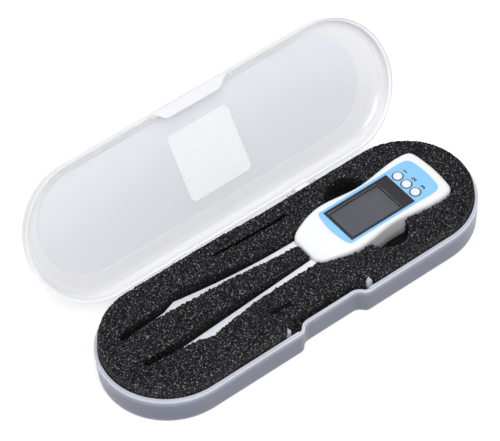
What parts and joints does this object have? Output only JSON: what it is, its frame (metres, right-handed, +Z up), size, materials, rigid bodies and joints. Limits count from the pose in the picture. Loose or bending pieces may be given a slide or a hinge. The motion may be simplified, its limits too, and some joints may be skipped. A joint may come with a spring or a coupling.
{
  "type": "two-prong digital probe meter in a case",
  "caption": "Hand-held digital probe meter with two tweezer prongs, lying in the foam of its hinged round-ended carry case, lid open.",
  "frame": {"origin": "middle of the case's flat underside", "axes": "+X along the case towards the meter's display end, +Y across it towards the hinge, +Z up"},
  "size_m": [0.205, 0.1107, 0.0728],
  "materials": {
    "case_plastic": "frosted translucent polypropylene",
    "case_foam": "black open-cell foam",
    "steel": "bright steel",
    "label_paper": "matt paper",
    "white_plastic": "satin white ABS",
    "overlay_film": "light blue printed film",
    "window_plastic": "clear grey-tinted acrylic",
    "display_glass": "grey liquid-crystal glass",
    "black_plastic": "black moulded plastic",
    "dark_rubber": "black conductive rubber",
    "board_laminate": "green solder-masked laminate",
    "contact_metal": "nickel-plated brass strip",
    "cell_steel": "nickel-plated steel cell can",
    "blade_steel": "stainless blade"
  },
  "bodies": {
    "case": {"case_base": "case_plastic", "foam_insert": "case_foam", "hinge_pins": "steel"},
    "lid": {"case_lid": "case_plastic", "lid_label": "label_paper"},
    "meter": {"front_shell": "white_plastic", "rear_shell": "white_plastic", "face_overlay": "overlay_film", "display_window": "window_plastic", "display_panel": "display_glass", "display_frame": "black_plastic", "contact_strips": "dark_rubber", "main_board": "board_laminate", "control_chip": "black_plastic", "tact_switches": "black_plastic", "coin_cell": "cell_steel", "battery_holder": "black_plastic", "battery_contacts": "contact_metal", "battery_door": "white_plastic", "door_screw": "steel", "housing_screws": "steel", "board_screws": "steel", "prong_clamp": "black_plastic", "prong_sheath_left": "white_plastic", "prong_sheath_right": "white_plastic", "prong_blade_left": "blade_steel", "prong_blade_right": "blade_steel", "temperature_sensor": "black_plastic", "lead_strips": "contact_metal"},
    "up_button": {"button_up": "white_plastic"},
    "set_button": {"button_set": "white_plastic"},
    "down_button": {"button_down": "white_plastic"}
  },
  "joints": [
    {"name": "lid_hinge", "type": "hinge", "parent": "case", "child": "lid", "pos_m": [0, 0.03525, 0.0141], "axis": [-1, 0, 0], "range_deg": [-121.3, 0]},
    {"name": "meter_lift", "type": "slide", "parent": "case", "child": "meter", "axis": [0, 0, 1], "range_m": [0, 0.06]},
    {"name": "up_button_press", "type": "slide", "parent": "meter", "child": "up_button", "axis": [0, 0, -1], "range_m": [0, 0.0005], "stiffness_N_per_m": 300, "springref_m": -0.001},
    {"name": "set_button_press", "type": "slide", "parent": "meter", "child": "set_button", "axis": [0, 0, -1], "range_m": [0, 0.0005], "stiffness_N_per_m": 300, "springref_m": -0.001},
    {"name": "down_button_press", "type": "slide", "parent": "meter", "child": "down_button", "axis": [0, 0, -1], "range_m": [0, 0.0005], "stiffness_N_per_m": 300, "springref_m": -0.001}
  ]
}
